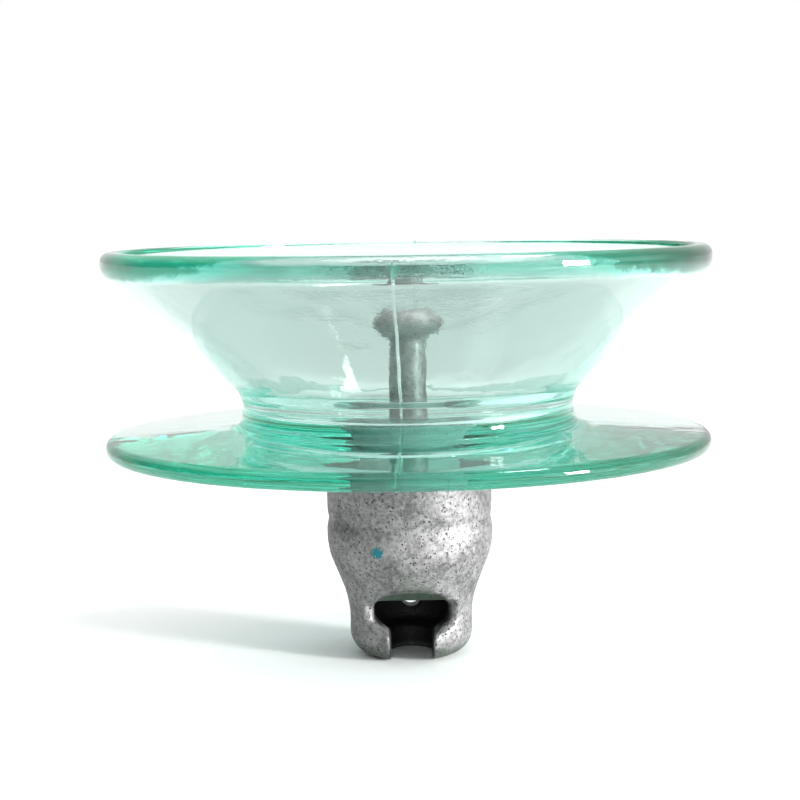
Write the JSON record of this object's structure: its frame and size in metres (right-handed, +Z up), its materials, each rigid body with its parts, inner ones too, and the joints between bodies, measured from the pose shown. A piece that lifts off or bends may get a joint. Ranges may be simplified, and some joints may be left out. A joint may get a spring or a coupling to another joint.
{
  "type": "suspension insulator",
  "caption": "Toughened glass cap-and-pin suspension insulator: flat lower shed, flared bell shed, cemented iron cap with ball socket and a ball-ended steel pin.",
  "frame": {"origin": "on the insulator's axis, under the foot of its cap, which is the lowest point of the unit stood on its cap", "axes": "+Z up along the pin, from the cap to the ball; +X to the right; the cap's socket opens towards -Y"},
  "size_m": [0.28, 0.28, 0.1906],
  "materials": {
    "toughened_glass": "polished",
    "galvanised_iron": "matte",
    "galvanised_steel": "satin",
    "cement": "matte",
    "bitumen": "satin",
    "cork": "matte"
  },
  "bodies": {
    "root": {"glass_shell": "toughened_glass", "cap": "galvanised_iron", "ball_pin": "galvanised_steel", "cap_cement": "cement", "pin_cement": "cement", "cap_lining": "bitumen", "pin_coat": "bitumen", "head_cushion": "cork", "pin_cushion": "cork"}
  },
  "joints": []
}
